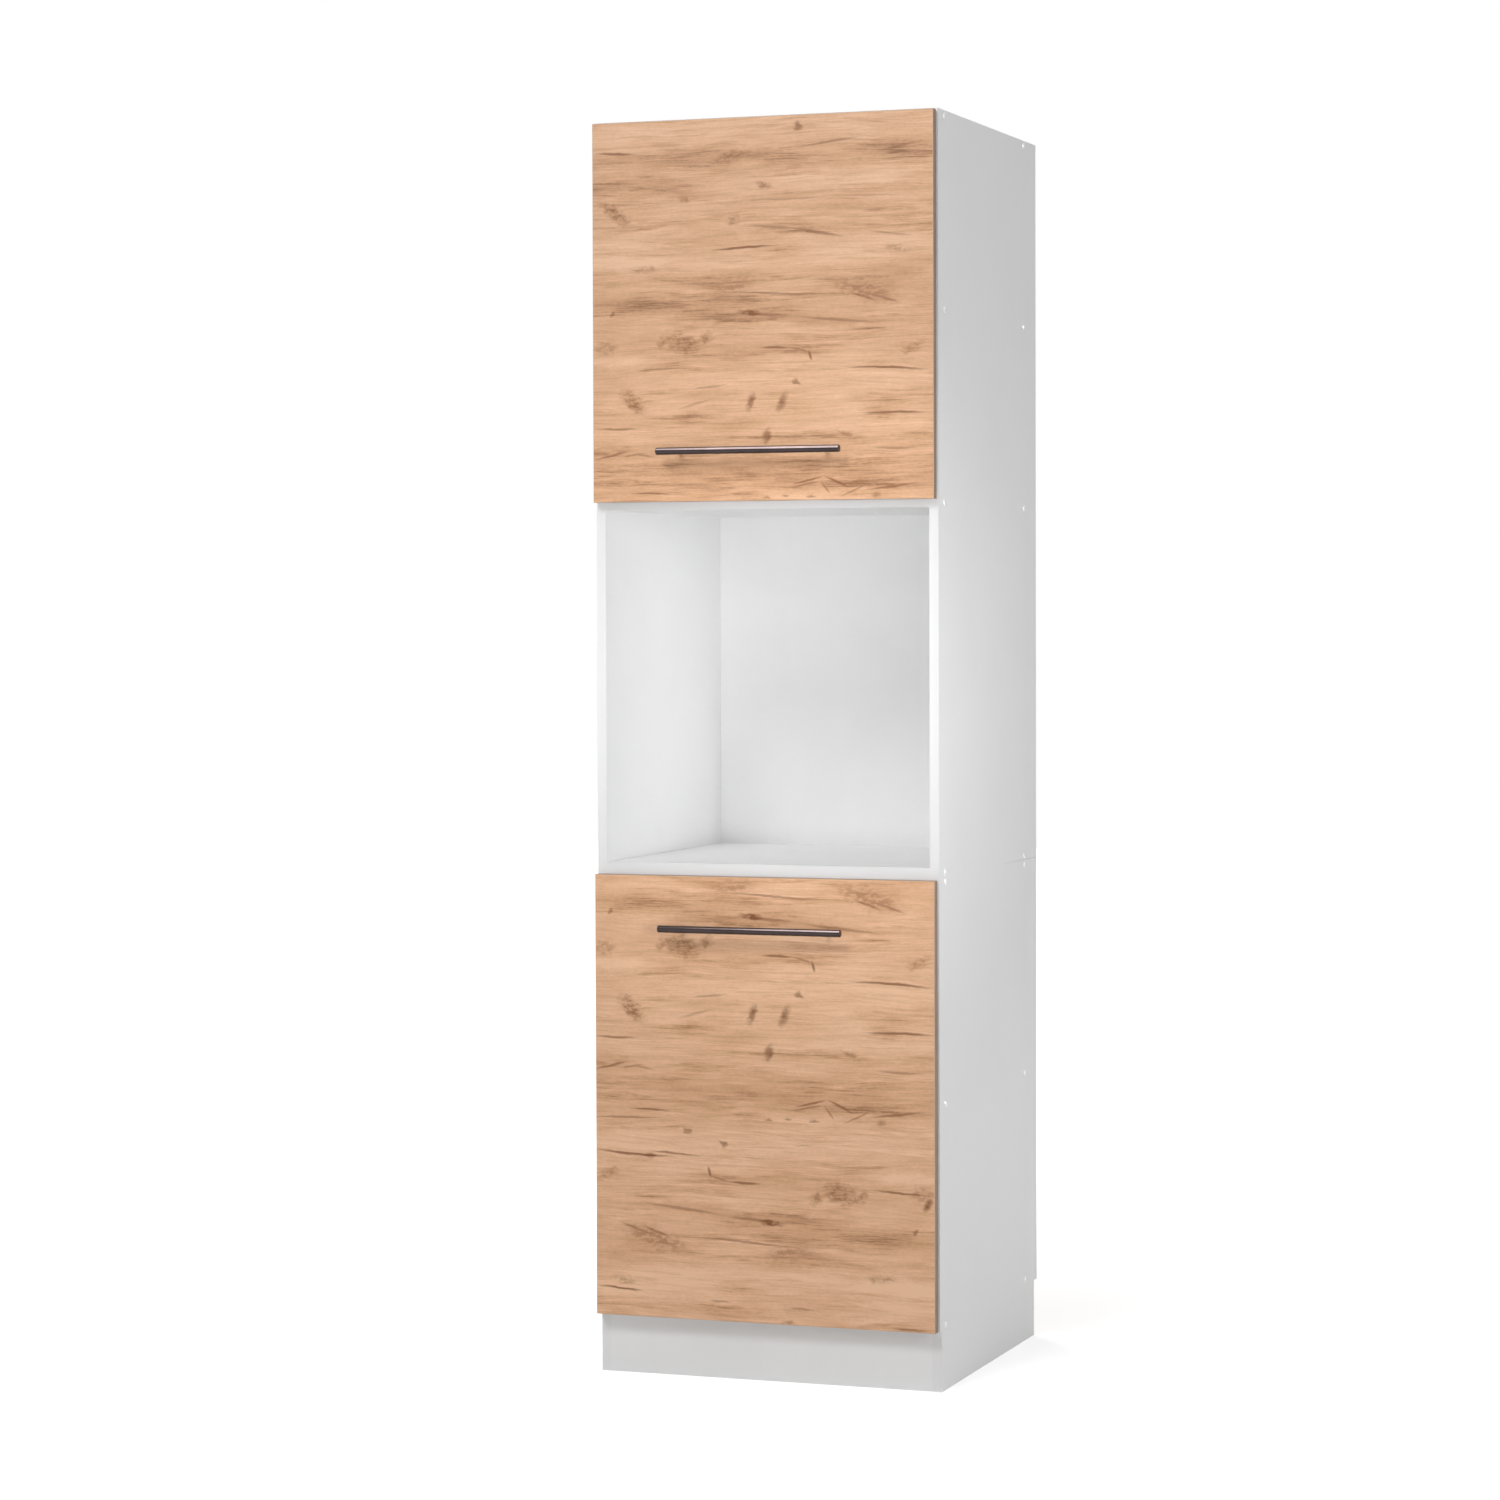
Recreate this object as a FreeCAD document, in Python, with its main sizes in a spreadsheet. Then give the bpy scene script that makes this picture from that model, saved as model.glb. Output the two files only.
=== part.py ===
# Tall oven housing cabinet: a base module with a door, and on it a module with an open oven niche
# and a second door. Millimetres, +Z up, +X to the right seen from the front, +Y to the wall.
# The origin is on the floor, at the middle of the unit's width and of its depth over the handles.
import FreeCAD
import Part
import Sketcher
import os
import re
from FreeCAD import Placement, Rotation, Vector

# Driving dimensions, each held by one cell of the sheet
sizes = {
    # Carcass
    "carcass_width": 600.0,
    "carcass_depth": 582.0,
    "board": 16.0,
    "plinth_height": 100.0,
    "lower_bay": 349.0,
    "niche_height": 590.0,
    "upper_bay": 300.0,
    "plinth_setback": 10.0,
    "skirting_depth": 18.0,
    "skirting_height": 97.0,
    # Back panels, rear rail and wall fixing
    "back_thickness": 3.0,
    "back_void": 23.0,
    "groove_depth": 6.0,
    "groove_play": 0.2,
    "rail_height": 100.0,
    "wall_hole": 6.0,
    "wall_hole_pitch": 440.0,
    "access_hole": 16.0,
    # Doors
    "door_thickness": 16.0,
    "door_gap": 3.0,
    "door_reveal": 2.0,
    "upper_door_drop": 3.0,
    "niche_edge_show": 13.0,
    "lower_door_drop": 4.0,
    "lower_door_lift": 1.0,
    "edging": 1.0,
    "edging_round_share": 0.7,
    "bumper_diameter": 8.0,
    "bumper_top": 6.4,
    "bumper_inset": 20.0,
    "bumper_play": 0.3,
    # Bar handles
    "handle_length": 320.0,
    "handle_diameter": 12.0,
    "handle_chamfer": 0.8,
    "handle_projection": 35.0,
    "handle_pitch": 256.0,
    "handle_shift": 14.0,
    "upper_handle_rise": 83.0,
    "lower_handle_drop": 87.0,
    "post_diameter": 8.0,
    "post_entry": 5.0,
    "handle_screw_bite": 10.0,
    # Concealed hinges
    "hinge_inset": 100.0,
    "pivot_inset": 7.5,
    "pivot_depth": 9.2,
    "hinge_pin": 3.0,
    "pin_play": 0.05,
    "knuckle": 4.4,
    "ear_thickness": 3.0,
    "ear_play": 0.3,
    "cup_diameter": 35.0,
    "cup_depth": 12.5,
    "cup_wall": 0.6,
    "cup_edge": 3.0,
    "flange": 0.8,
    "flange_lip": 1.0,
    "wing_reach": 15.5,
    "wing_height": 60.0,
    "cup_screw_reach": 9.5,
    "cup_screw_pitch": 48.0,
    "arm_height": 8.0,
    "arm_thickness": 3.0,
    "arm_reach": 62.0,
    "arm_screw_inset": 52.0,
    "arm_screw_bite": 3.5,
    "plate_thickness": 2.0,
    "plate_front": 24.0,
    "plate_depth": 26.0,
    "plate_height": 50.0,
    "pedestal_height": 4.6,
    "pedestal_width": 12.0,
    "plate_screw_inset": 37.0,
    "plate_screw_pitch": 32.0,
    # Connecting screws, their cover caps and the dowels
    "connector_diameter": 7.0,
    "connector_thread": 6.4,
    "connector_head": 10.0,
    "connector_length": 50.0,
    "connector_front": 35.0,
    "connector_rear": 51.0,
    "cap_diameter": 12.4,
    "cap_shoulder": 9.6,
    "cap_shoulder_rise": 0.8,
    "cap_top": 5.0,
    "cap_rise": 1.3,
    "cap_stud": 4.0,
    "cap_stud_length": 3.0,
    "dowel_diameter": 8.0,
    "dowel_length": 30.0,
    "dowel_bite": 10.0,
    "dowel_inset": 25.0,
    # Small screws
    "wood_screw": 3.5,
    "wood_screw_head": 7.0,
    "wood_screw_rise": 2.0,
    "wood_screw_length": 13.0,
    "module_screw_length": 28.0,
    "module_screw_inset": 80.0,
    "back_screw_pitch": 220.0,
    "machine_screw": 4.0,
    "machine_screw_head": 8.0,
    "machine_screw_rise": 2.4,
    "recess_length": 4.0,
    "recess_width": 0.9,
    "recess_depth": 1.2,
    # Fits
    "drill_play": 0.05,
    "drill_spare": 0.5,
    "clearance_hole_play": 0.3,
}

# The connecting screws have a 45 degree cone under the head
countersink_angle = 90
# Points closer than this, in millimetres, lie on the same plane
same_plane = 1e-6

# Levels: the underside of each horizontal board, and the top of each module
floor_level = "plinth_height"
lower_shelf_level = f"({floor_level} + board + lower_bay)"
lower_top_level = f"({lower_shelf_level} + board + lower_bay)"
base_top = f"({lower_top_level} + board)"
niche_floor_level = base_top
niche_ceiling_level = f"({base_top} + board + niche_height)"
upper_shelf_level = f"({niche_ceiling_level} + board + upper_bay)"
top_level = f"({upper_shelf_level} + board + upper_bay)"
unit_top = f"({top_level} + board)"
upper_height = f"({unit_top} - {base_top})"

# Places across and through the unit
left_face = "(-carcass_width / 2)"
right_face = "(carcass_width / 2)"
inner_width = "(carcass_width - 2 * board)"
inner_left = "(board - carcass_width / 2)"
front = "((handle_projection + door_thickness + door_gap - carcass_depth) / 2)"
rear = f"({front} + carcass_depth)"
boards_depth = "(carcass_depth - back_void - back_thickness)"
back_tongue = "(groove_depth - groove_play)"
back_middle = f"({inner_width} / 2 + {back_tongue})"
connector_insets = ("connector_front", f"{boards_depth} - connector_rear")
back_screw_shifts = ("- back_screw_pitch", "", "+ back_screw_pitch")

# Doors, handles and hinge axes
door_left = f"({left_face} + door_reveal)"
door_right = f"({right_face} - door_reveal)"
door_width = "(carcass_width - 2 * door_reveal)"
door_back = f"({front} - door_gap)"
door_front = f"({door_back} - door_thickness)"
upper_door_bottom = f"({niche_ceiling_level} + niche_edge_show)"
upper_door_top = f"({unit_top} - upper_door_drop)"
lower_door_bottom = "(plinth_height + lower_door_lift)"
lower_door_top = f"({base_top} - lower_door_drop)"
upper_handle_level = f"({upper_door_bottom} + upper_handle_rise)"
lower_handle_level = f"({lower_door_top} - lower_handle_drop)"
handle_middle = "(-handle_shift)"
handle_axis = f"({door_front} - handle_projection + handle_diameter / 2)"
post_length = "(handle_projection - handle_diameter + post_entry)"
pivot_x = f"({door_left} + pivot_inset)"
pivot_y = f"({door_back} - pivot_depth)"
cup_reach = "(cup_edge + cup_diameter / 2)"
pin_half = "(arm_height / 2 + ear_play + ear_thickness)"

# Screw length below the head for each use
connector_bite = "(connector_length - board)"
plate_screw_bite = "(wood_screw_length - plate_thickness)"
cup_screw_bite = "(wood_screw_length - flange)"
back_screw_bite = "(wood_screw_length - back_thickness)"
module_screw_bite = "(module_screw_length - board)"

# Turns that point a fastener's head, made along +Z, out of the face it is driven into
head_right = Rotation(Vector(0, 1, 0), 90)
head_left = Rotation(Vector(0, 1, 0), -90)
head_back = Rotation(Vector(1, 0, 0), -90)
head_front = Rotation(Vector(1, 0, 0), 90)
head_down = Rotation(Vector(1, 0, 0), 180)
upright = Rotation()

doc = FreeCAD.newDocument("OvenHousing")
sheet = doc.addObject("Spreadsheet::Sheet", "Sizes")
for row, (alias, number) in enumerate(sizes.items(), 1):
    sheet.set(f"A{row}", alias)
    sheet.set(f"B{row}", str(number))
    sheet.setAlias(f"B{row}", alias)
doc.recompute()
nodes = []


def cells(expression):
    # The expression with each size's name pointed at its cell
    return re.sub(r"[a-z_]+", lambda word: f"Sizes.{word[0]}" if word[0] in sizes else word[0], expression)


def value(expression):
    return float(sheet.evalExpression(cells(expression)))


def bind(item, bindings):
    for path, expression in bindings.items():
        item.setExpression(path, cells(expression))


def place(item, x, y, z, turn=upright):
    item.Placement = Placement(Vector(), turn)
    bind(item, {"Placement.Base.x": x, "Placement.Base.y": y, "Placement.Base.z": z})
    return item


def keep(item, label):
    # Marks a finished piece: its label names its file
    item.Label = label
    nodes.append(item)
    return item


# Sketches and features of the boards

def sketch_on(body, role, offset="0"):
    planes = [feature for feature in body.Origin.OriginFeatures if feature.Role == role]
    sketch = body.newObject("Sketcher::SketchObject", f"{body.Name}_sketch")
    sketch.AttachmentSupport = [(planes[0], "")]
    sketch.MapMode = "FlatFace"
    bind(sketch, {"AttachmentOffset.Base.z": offset})
    return sketch


def lock(sketch, geometry, point, x, y):
    for kind, expression in (("DistanceX", x), ("DistanceY", y)):
        rule = Sketcher.Constraint(kind, -1, 1, geometry, point, value(expression))
        number = sketch.addConstraint(rule)
        bind(sketch, {f"Constraints[{number}]": expression})


def draw_outline(sketch, corners):
    points = [Vector(value(x), value(y), 0) for x, y in corners]
    count = len(points)
    for number in range(count):
        sketch.addGeometry(Part.LineSegment(points[number], points[(number + 1) % count]))
    for number, (x, y) in enumerate(corners):
        sketch.addConstraint(Sketcher.Constraint("Coincident", number, 2, (number + 1) % count, 1))
        lock(sketch, number, 1, x, y)


def draw_rectangle(sketch, width, height, left="0", bottom="0"):
    right = f"{left} + {width}"
    top = f"{bottom} + {height}"
    draw_outline(sketch, [(left, bottom), (right, bottom), (right, top), (left, top)])


def draw_circles(sketch, centres, diameter):
    for x, y in centres:
        middle = Vector(value(x), value(y), 0)
        circle = sketch.addGeometry(Part.Circle(middle, Vector(0, 0, 1), value(diameter) / 2))
        lock(sketch, circle, 3, x, y)
        number = sketch.addConstraint(Sketcher.Constraint("Diameter", circle, value(diameter)))
        bind(sketch, {f"Constraints[{number}]": diameter})


def pad(body, sketch, length, reverse=False):
    feature = body.newObject("PartDesign::Pad", f"{body.Name}_pad")
    feature.Profile = sketch
    feature.Reversed = reverse
    bind(feature, {"Length": length})
    return feature


def pocket(body, sketch, length, reverse=False):
    feature = body.newObject("PartDesign::Pocket", f"{body.Name}_pocket")
    feature.Profile = sketch
    feature.Reversed = reverse
    bind(feature, {"Length": length})
    return feature


def drill(body, role, centres, diameter, depth, offset="0", reverse=False):
    sketch = sketch_on(body, role, offset)
    draw_circles(sketch, centres, diameter)
    return pocket(body, sketch, depth, reverse)


def edges_where(shape, test):
    # Names of the edges whose two ends both pass the test
    numbered = enumerate(shape.Edges, 1)
    return [f"Edge{number}" for number, edge in numbered if all(test(v.Point) for v in edge.Vertexes)]


# Primitives of the metal fittings

def block(name, x, y, z, length, width, height):
    item = doc.addObject("Part::Box", name)
    bind(item, {"Length": length, "Width": width, "Height": height})
    return place(item, x, y, z)


def rod(name, diameter, length, x="0", y="0", z="0", turn=upright):
    item = doc.addObject("Part::Cylinder", name)
    bind(item, {"Radius": f"({diameter}) / 2", "Height": length})
    return place(item, x, y, z, turn)


def taper(name, lower, upper, length, z):
    item = doc.addObject("Part::Cone", name)
    bind(item, {"Radius1": f"({lower}) / 2", "Radius2": f"({upper}) / 2", "Height": length})
    return place(item, "0", "0", z)


def join(name, items):
    item = doc.addObject("Part::MultiFuse", name)
    item.Shapes = items
    return item


def cut(name, base, tools):
    item = doc.addObject("Part::Cut", name)
    item.Base = base
    item.Tool = tools[0] if len(tools) == 1 else join(f"{name}_tools", tools)
    return item


def group(label, copies):
    # One node of linked copies, each a pattern piece with its place and turn
    links = []
    for pattern, x, y, z, turn in copies:
        link = doc.addObject("App::Link", f"{label}_copy")
        link.LinkedObject = pattern
        link.LinkTransform = True
        links.append(place(link, x, y, z, turn))
    compound = doc.addObject("Part::Compound", f"{label}_group")
    compound.Links = links
    return keep(compound, label)


# Carcass boards

def side_panel(label, on_left, bottom, height, outline, levels):
    # Lies in the YZ plane, local origin at its front lower corner on its left face
    body = doc.addObject("PartDesign::Body", label)
    outer_offset = "0" if on_left else "board"
    inner = {"offset": "board", "reverse": False} if on_left else {"offset": "0", "reverse": True}
    sketch = sketch_on(body, "YZ_Plane")
    draw_outline(sketch, outline)
    pad(body, sketch, "board")
    groove = sketch_on(body, "YZ_Plane", inner["offset"])
    groove_width = "(back_thickness + groove_play)"
    groove_left = f"{boards_depth} - groove_play / 2"
    draw_rectangle(groove, groove_width, height, groove_left)
    pocket(body, groove, "groove_depth", inner["reverse"])
    holes = sketch_on(body, "YZ_Plane", outer_offset)
    middles = [f"{level} + board / 2 - {bottom}" for level in levels]
    centres = [(inset, middle) for middle in middles for inset in connector_insets]
    shank_hole = "connector_diameter + 2 * drill_play"
    draw_circles(holes, centres, shank_hole)
    doc.recompute()
    countersink = body.newObject("PartDesign::Hole", f"{label}_countersink")
    countersink.Profile = holes
    doc.recompute()
    countersink.ThreadType = "None"
    countersink.DepthType = "ThroughAll"
    countersink.HoleCutType = "Countersink"
    countersink.HoleCutCustomValues = True
    countersink.HoleCutCountersinkAngle = countersink_angle
    countersink.Reversed = on_left
    bind(countersink, {"Diameter": shank_hole, "HoleCutDiameter": "connector_head + 2 * drill_play"})
    place(body, left_face if on_left else f"{right_face} - board", front, bottom)
    return body, inner


def carcass_board(label, level):
    # Lies flat between the sides, local origin at its front left lower corner
    body = doc.addObject("PartDesign::Body", label)
    sketch = sketch_on(body, "XY_Plane")
    draw_rectangle(sketch, inner_width, boards_depth)
    pad(body, sketch, "board")
    ends = [(inset, "board / 2") for inset in connector_insets]
    thread_hole = "connector_thread + 2 * drill_play"
    thread_depth = f"{connector_bite} + drill_spare"
    drill(body, "YZ_Plane", ends, thread_hole, thread_depth, reverse=True)
    drill(body, "YZ_Plane", ends, thread_hole, thread_depth, offset=inner_width)
    tacks = [(f"{inner_width} / 2 {shift}", "board / 2") for shift in back_screw_shifts]
    tack_hole = "wood_screw + 2 * drill_play"
    tack_depth = f"{back_screw_bite} + drill_spare"
    drill(body, "XZ_Plane", tacks, tack_hole, tack_depth, offset=f"-{boards_depth}", reverse=True)
    return place(body, inner_left, front, level)


def back_panel(label, bottom, height, levels):
    # Stands in the grooves of the sides, its front face on the rear edges of the boards
    body = doc.addObject("PartDesign::Body", label)
    sketch = sketch_on(body, "XZ_Plane")
    draw_rectangle(sketch, f"2 * {back_middle}", height)
    pad(body, sketch, "back_thickness", reverse=True)
    middles = [f"{level} + board / 2 - {bottom}" for level in levels]
    tacks = [(f"{back_middle} {shift}", level) for level in middles for shift in back_screw_shifts]
    drill(body, "XZ_Plane", tacks, "wood_screw + 2 * drill_play", "back_thickness")
    return place(body, f"{inner_left} - {back_tongue}", f"{front} + {boards_depth}", bottom)


def cross_board(label, y, z, height):
    # A board on edge between the sides, held by two dowels at each end
    body = doc.addObject("PartDesign::Body", label)
    sketch = sketch_on(body, "XZ_Plane")
    draw_rectangle(sketch, inner_width, height)
    pad(body, sketch, "board", reverse=True)
    ends = [("board / 2", "dowel_inset"), ("board / 2", f"{height} - dowel_inset")]
    dowel_hole = "dowel_diameter + 2 * drill_play"
    dowel_depth = "dowel_length - dowel_bite"
    drill(body, "YZ_Plane", ends, dowel_hole, dowel_depth, reverse=True)
    drill(body, "YZ_Plane", ends, dowel_hole, dowel_depth, offset=inner_width)
    return place(body, inner_left, y, z)


def drill_side(body, inner, centres, diameter, depth):
    drill(body, "YZ_Plane", centres, diameter, depth, inner["offset"], inner["reverse"])


lower_levels = [floor_level, lower_shelf_level, lower_top_level]
upper_levels = [niche_floor_level, niche_ceiling_level, upper_shelf_level, top_level]
skirting_edge = "carcass_depth - skirting_depth"
lower_outline = [
    ("plinth_setback", "0"),
    (skirting_edge, "0"),
    (skirting_edge, "skirting_height"),
    ("carcass_depth", "skirting_height"),
    ("carcass_depth", base_top),
    ("0", base_top),
    ("0", "plinth_height"),
    ("plinth_setback", "plinth_height"),
]
upper_outline = [
    ("0", "0"),
    ("carcass_depth", "0"),
    ("carcass_depth", upper_height),
    ("0", upper_height),
]
upper_hinge_levels = [f"({upper_door_bottom} + hinge_inset)", f"({upper_door_top} - hinge_inset)"]
lower_hinge_levels = [f"({lower_door_bottom} + hinge_inset)", f"({lower_door_top} - hinge_inset)"]
plate_screw_shifts = ("- plate_screw_pitch / 2", "+ plate_screw_pitch / 2")
plinth_dowels = [("plinth_setback + board / 2", "dowel_inset")]
plinth_dowels.append(("plinth_setback + board / 2", "plinth_height - dowel_inset"))
rail_bottom = f"({unit_top} - rail_height)"
rail_dowels = [("carcass_depth - board / 2", f"{upper_height} - rail_height + dowel_inset")]
rail_dowels.append(("carcass_depth - board / 2", f"{upper_height} - dowel_inset"))

lower_side = ("0", base_top, lower_outline, lower_levels)
upper_side = (base_top, upper_height, upper_outline, upper_levels)
side_specs = [
    ("lower_left_side", True, lower_side, plinth_dowels, lower_hinge_levels),
    ("lower_right_side", False, lower_side, plinth_dowels, []),
    ("upper_left_side", True, upper_side, rail_dowels, upper_hinge_levels),
    ("upper_right_side", False, upper_side, rail_dowels, []),
]
for label, on_left, side_spec, dowel_places, hinge_levels in side_specs:
    bottom = side_spec[0]
    side, inner_face = side_panel(label, on_left, *side_spec)
    drill_side(side, inner_face, dowel_places, "dowel_diameter + 2 * drill_play", "dowel_bite")
    plate_holes = [
        ("plate_screw_inset", f"{level} {shift} - {bottom}")
        for level in hinge_levels
        for shift in plate_screw_shifts
    ]
    if plate_holes:
        plate_hole_depth = f"{plate_screw_bite} + drill_spare"
        drill_side(side, inner_face, plate_holes, "wood_screw + 2 * drill_play", plate_hole_depth)
    keep(side, label)

board_levels = {
    "lower_floor": floor_level,
    "lower_shelf": lower_shelf_level,
    "lower_top_panel": lower_top_level,
    "niche_floor": niche_floor_level,
    "niche_ceiling": niche_ceiling_level,
    "upper_shelf": upper_shelf_level,
    "top_panel": top_level,
}
module_screw_places = [
    (x, y)
    for x in ("module_screw_inset", f"{inner_width} - module_screw_inset")
    for y in ("module_screw_inset", f"{boards_depth} - module_screw_inset")
]
for label, level in board_levels.items():
    shelf_board = carcass_board(label, level)
    if label == "lower_top_panel":
        clearance_hole = "wood_screw + 2 * clearance_hole_play"
        drill(shelf_board, "XY_Plane", module_screw_places, clearance_hole, "board", reverse=True)
    if label == "niche_floor":
        module_hole_depth = f"{module_screw_bite} + drill_spare"
        module_hole = "wood_screw + 2 * drill_play"
        drill(shelf_board, "XY_Plane", module_screw_places, module_hole, module_hole_depth, reverse=True)
    keep(shelf_board, label)

lower_back_height = f"({base_top} - plinth_height)"
keep(back_panel("lower_back_panel", floor_level, lower_back_height, lower_levels), "lower_back_panel")
upper_back = back_panel("upper_back_panel", base_top, upper_height, upper_levels)
wall_hole_shifts = ("- wall_hole_pitch / 2", "+ wall_hole_pitch / 2")
access_level = f"{upper_height} - rail_height / 2"
access_holes = [(f"{back_middle} {shift}", access_level) for shift in wall_hole_shifts]
drill(upper_back, "XZ_Plane", access_holes, "access_hole", "back_thickness")
keep(upper_back, "upper_back_panel")

keep(cross_board("plinth", f"{front} + plinth_setback", "0", "plinth_height"), "plinth")
rail = cross_board("rear_rail", f"{rear} - board", rail_bottom, "rail_height")
wall_holes = [(f"{inner_width} / 2 {shift}", "rail_height / 2") for shift in wall_hole_shifts]
drill(rail, "XZ_Plane", wall_holes, "wall_hole", "board")
keep(rail, "rear_rail")


# Fasteners, each a pattern piece along +Z with the underside of its head at the origin

def cross_recess(name, top):
    bars = []
    for length, width in (("recess_length", "recess_width"), ("recess_width", "recess_length")):
        bars.append(block(f"{name}_bar", f"-{length} / 2", f"-{width} / 2", f"{top} - recess_depth",
                          length, width, "recess_depth"))
    return bars


def pan_screw(name, diameter, length, head, rise):
    parts = [rod(f"{name}_shank", diameter, length, z=f"-({length})"), rod(f"{name}_head", head, rise)]
    return cut(name, join(f"{name}_blank", parts), cross_recess(name, rise))


def connector_screw():
    # Countersunk head flush with the side, shank as long as the board is thick, then the thread
    head_depth = "(connector_head - connector_diameter) / 2"
    tip = "connector_thread / 4"
    parts = [
        taper("connector_cone", "connector_diameter", "connector_head", head_depth, f"-{head_depth}"),
        rod("connector_shank", "connector_diameter", f"board - {head_depth}", z="-board"),
        rod("connector_core", "connector_thread", f"{connector_bite} - {tip}", z=f"{tip} - connector_length"),
        taper("connector_tip", "connector_thread / 2", "connector_thread", tip, "-connector_length"),
    ]
    socket_depth = "cap_stud_length + drill_spare"
    socket = rod("connector_socket", "cap_stud + 2 * drill_play", socket_depth, z=f"-({socket_depth})")
    return cut("connector", join("connector_blank", parts), [socket])


def cover_cap():
    # A low cap of two slopes on the side's face, with a stud in the screw's socket
    skirt = taper("cap_skirt", "cap_diameter", "cap_shoulder", "cap_shoulder_rise", "0")
    crown_rise = "cap_rise - cap_shoulder_rise"
    crown = taper("cap_crown", "cap_shoulder", "cap_top", crown_rise, "cap_shoulder_rise")
    stud = rod("cap_stud_pin", "cap_stud", "cap_stud_length", z="-cap_stud_length")
    return join("cap", [skirt, crown, stud])


connector = connector_screw()
cap = cover_cap()
dowel = rod("dowel", "dowel_diameter", "dowel_length")
wood_screw = pan_screw("wood_screw_pattern", "wood_screw", "wood_screw_length", "wood_screw_head",
                       "wood_screw_rise")
module_screw = pan_screw("module_screw_pattern", "wood_screw", "module_screw_length", "wood_screw_head",
                         "wood_screw_rise")
handle_screw = pan_screw("handle_screw_pattern", "machine_screw", "(door_thickness + handle_screw_bite)",
                         "machine_screw_head", "machine_screw_rise")
arm_screw = pan_screw("arm_screw_pattern", "machine_screw", "(arm_thickness + arm_screw_bite)",
                      "machine_screw_head", "machine_screw_rise")

for module, levels in (("lower", lower_levels), ("upper", upper_levels)):
    for hand, face, turn in (("left", left_face, head_left), ("right", right_face, head_right)):
        spots = [(face, f"{front} + {inset}", f"{level} + board / 2", turn)
                 for level in levels for inset in connector_insets]
        group(f"{module}_{hand}_connectors", [(connector, *spot) for spot in spots])
        group(f"{module}_{hand}_caps", [(cap, *spot) for spot in spots])
    tack_y = f"{front} + {boards_depth} + back_thickness"
    tacks = [(wood_screw, f"0 {shift}", tack_y, f"{level} + board / 2", head_back)
             for level in levels for shift in back_screw_shifts]
    group(f"{module}_back_screws", tacks)

dowel_copies = []
for bottom, dowel_places in (("0", plinth_dowels), (base_top, rail_dowels)):
    for depth, height in dowel_places:
        for x in (f"{inner_left} - dowel_bite", f"{inner_left} + {inner_width} + dowel_bite - dowel_length"):
            dowel_copies.append((dowel, x, f"{front} + {depth}", f"{bottom} + {height}", head_right))
group("dowels", dowel_copies)
module_copies = [(module_screw, f"{inner_left} + {x}", f"{front} + {y}", lower_top_level, head_down)
                 for x, y in module_screw_places]
group("module_screws", module_copies)


# Hinge pattern pieces, with the hinge's axis on the Z axis and the door to the front

def hinge_cup():
    # Pressed steel cup sunk in the door's back, with a flange and two screw wings on its face,
    # and two ears on its floor that hold the pin
    middle = f"({cup_reach} - pivot_inset)"
    mouth = "(pivot_depth + flange)"
    shell = rod("cup_shell", "cup_diameter", "cup_depth", middle, "pivot_depth", "0", head_front)
    lip = rod("cup_lip", "cup_diameter + 2 * flange_lip", "flange", middle, mouth, "0", head_front)
    wing = block("cup_wing", middle, "pivot_depth", "-wing_height / 2", "wing_reach", "flange", "wing_height")
    hollow = rod("cup_hollow", "cup_diameter - 2 * cup_wall", "cup_depth - cup_wall + flange",
                 middle, mouth, "0", head_front)
    bowl = cut("cup_bowl", join("cup_blank", [shell, lip, wing]), [hollow])
    cup_floor = "(pivot_depth - cup_depth + cup_wall)"
    ear_depth = f"knuckle / 2 - {cup_floor}"
    ears = [
        block("cup_ear", "-knuckle / 2", cup_floor, low, "knuckle", ear_depth, "ear_thickness")
        for low in (f"-{pin_half}", f"{pin_half} - ear_thickness")
    ]
    pin_hole = rod("cup_pin_hole", "hinge_pin + 2 * drill_play", f"2 * {pin_half}", z=f"-{pin_half}")
    screw_holes = [
        rod("cup_screw_hole", "wood_screw + 2 * drill_play", "flange", f"{middle} + cup_screw_reach", mouth,
            f"{side} cup_screw_pitch / 2", head_front)
        for side in ("-", "")
    ]
    return cut("cup_pattern", join("cup_with_ears", [bowl] + ears), [pin_hole] + screw_holes)


def hinge_pin():
    # Runs through the arm's knuckle and ends flush with the two ears
    return rod("pin_pattern", "hinge_pin", f"2 * {pin_half}", z=f"-{pin_half}")


def hinge_arm():
    # Knuckle on the pin, a hook out of the cup, and a flat arm that lies on the plate's pedestal
    seat = "(board - door_reveal - pivot_inset + pedestal_height)"
    low = "-arm_height / 2"
    end = "(pivot_depth + door_gap + arm_reach)"
    knuckle = rod("arm_knuckle", "knuckle", "arm_height", z=low)
    hook = block("arm_hook", "0", "-knuckle / 2", low, f"{seat} + arm_thickness", "knuckle", "arm_height")
    flat = block("arm_flat", seat, "-knuckle / 2", low, "arm_thickness", f"{end} + knuckle / 2", "arm_height")
    bore = rod("arm_bore", "hinge_pin + 2 * pin_play", "arm_height", z=low)
    screw_hole = rod("arm_screw_hole", "machine_screw + 2 * drill_play", "arm_thickness", seat,
                     "pivot_depth + door_gap + arm_screw_inset", "0", head_right)
    return cut("arm_pattern", join("arm_blank", [knuckle, hook, flat]), [bore, screw_hole])


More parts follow.
